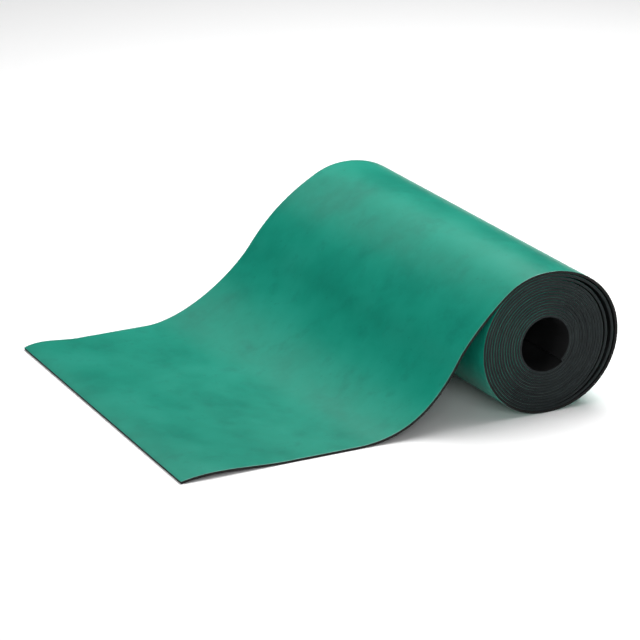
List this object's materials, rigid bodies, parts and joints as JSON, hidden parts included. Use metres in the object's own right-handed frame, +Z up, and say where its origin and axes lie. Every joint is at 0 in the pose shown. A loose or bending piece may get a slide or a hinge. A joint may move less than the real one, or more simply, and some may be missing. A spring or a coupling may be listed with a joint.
{
  "type": "anti-static bench mat",
  "caption": "Two-layer anti-static rubber mat for a workbench, rolled up on its side with its leading end let down over the roll and run out in front of it.",
  "frame": {"origin": "on the floor, under the centre of the bounding box", "axes": "+Y along the roll's axis, away from the end seen in the picture; -X is the way the sheet is run out; +Z up"},
  "size_m": [0.3616, 0.3, 0.1089],
  "materials": {
    "mat_rubber": "satin green working face over a matt black conductive backing"
  },
  "bodies": {
    "root": {"bench_mat": "mat_rubber"}
  },
  "joints": []
}
